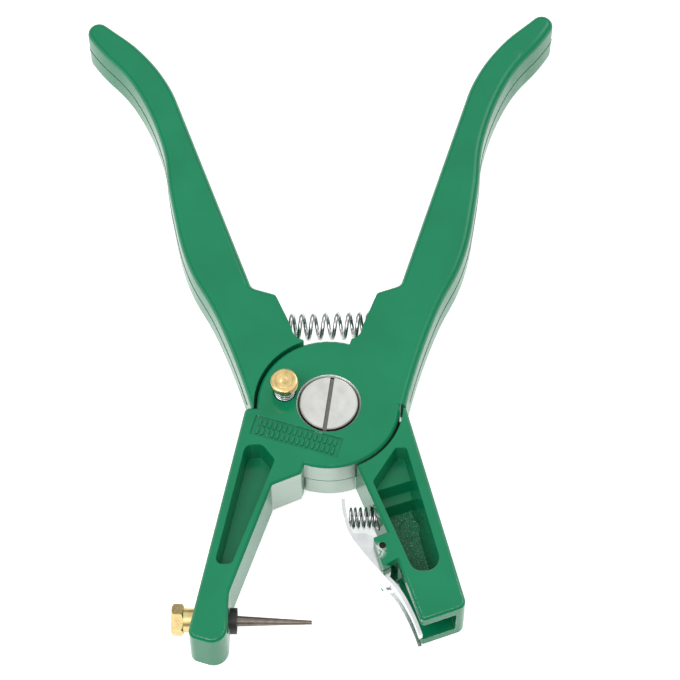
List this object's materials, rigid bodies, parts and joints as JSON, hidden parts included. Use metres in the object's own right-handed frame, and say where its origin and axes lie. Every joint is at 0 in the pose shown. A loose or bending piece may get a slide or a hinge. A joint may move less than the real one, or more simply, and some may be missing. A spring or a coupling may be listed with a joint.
{
  "type": "ear tag applicator",
  "caption": "Hand pliers for fixing two-piece livestock ear tags: a fixed needle on one jaw, a sprung clip and hollow seat on the other, slotted pivot, return spring and lock button.",
  "frame": {"origin": "on the pivot axis, in the plane of the tool's back, on the end of the pivot screw", "axes": "+Z out of the front face along the pivot axis, +Y towards the handles (the line halfway between them when open), +X towards the handle of the needle lever"},
  "size_m": [0.1674, 0.2423, 0.0285],
  "materials": {
    "green_enamel": "gloss",
    "zinc_steel": "satin",
    "bright_steel": "polished",
    "spring_steel": "polished",
    "needle_steel": "satin",
    "black_collar": "matte",
    "brass": "polished"
  },
  "bodies": {
    "needle_side": {"needle_lever": "green_enamel", "pivot_screw": "zinc_steel", "pivot_nut": "zinc_steel", "needle": "needle_steel", "needle_collar": "black_collar", "needle_nut": "brass", "handle_spring": "spring_steel", "lock_spring": "spring_steel"},
    "clip_side": {"clip_lever": "green_enamel", "clip_hinge_pin": "needle_steel", "clip_spring": "spring_steel"},
    "lock": {"lock_button": "brass", "lock_pin": "zinc_steel", "lock_retaining_ring": "spring_steel"},
    "clip": {"tag_clip": "bright_steel"}
  },
  "joints": [
    {"name": "lever_pivot", "type": "hinge", "parent": "needle_side", "child": "clip_side", "pos_m": [0, 0, 0.01025], "axis": [0, 0, -1], "range_deg": [0, 33], "stiffness_Nm_per_rad": 1.2, "springref_deg": -22.92, "deforming": ["handle_spring"]},
    {"name": "lock_press", "type": "slide", "parent": "needle_side", "child": "lock", "axis": [0, 0, -1], "range_m": [0, 0.003], "stiffness_N_per_m": 400, "springref_m": -0.002, "deforming": ["lock_spring"]},
    {"name": "clip_hinge", "type": "hinge", "parent": "clip_side", "child": "clip", "pos_m": [0.0166, -0.0526, 0.01025], "axis": [0, 0, -1], "range_deg": [0, 7.5], "stiffness_Nm_per_rad": 0.15, "springref_deg": -17.19, "deforming": ["clip_spring"]}
  ]
}
